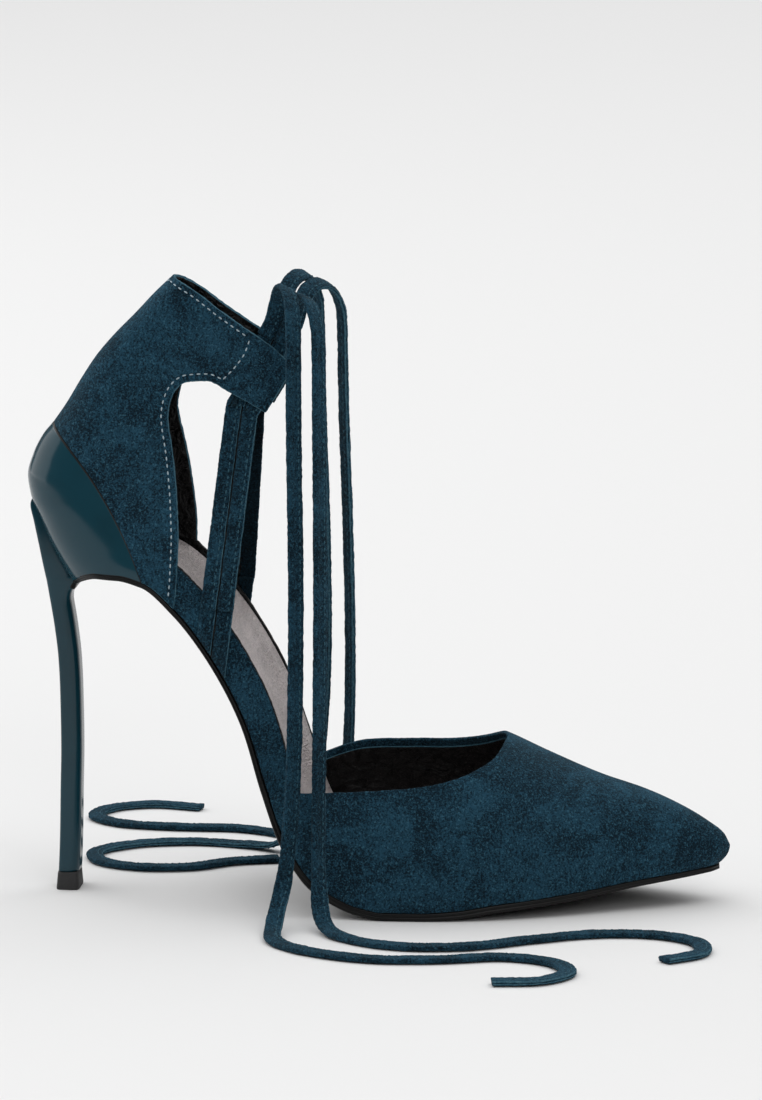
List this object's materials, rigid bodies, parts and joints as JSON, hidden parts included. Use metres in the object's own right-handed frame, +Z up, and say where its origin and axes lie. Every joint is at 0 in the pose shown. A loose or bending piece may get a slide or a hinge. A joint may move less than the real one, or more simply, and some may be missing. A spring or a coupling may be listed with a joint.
{
  "type": "lace up high heeled pump with ankle ties",
  "caption": "Pointed high heeled shoe with an open waist, a high quarter with tabs, a thin blade heel and flat ankle ties, right foot.",
  "frame": {"origin": "on the floor, under the middle of the shoe's length and width, free tie ends left out", "axes": "+X towards the toe, +Y towards the inner side of the foot, +Z up"},
  "size_m": [0.2156, 0.2362, 0.1912],
  "materials": {
    "suede_teal": "suede nap, mottled",
    "patent_teal": "glossy",
    "leather_taupe": "smooth, slight sheen",
    "board_black": "matte",
    "rubber_black": "matte"
  },
  "bodies": {
    "root": {"outsole": "rubber_black", "footbed": "board_black", "sock": "leather_taupe", "upper": "suede_teal", "heel": "patent_teal", "heel_tip": "rubber_black", "tie_bar_outer": "suede_teal", "tie_bar_inner": "suede_teal", "tie_end_outer_front": "suede_teal", "tie_end_outer_back": "suede_teal", "tie_end_inner_front": "suede_teal", "tie_end_inner_back": "suede_teal"}
  },
  "joints": []
}
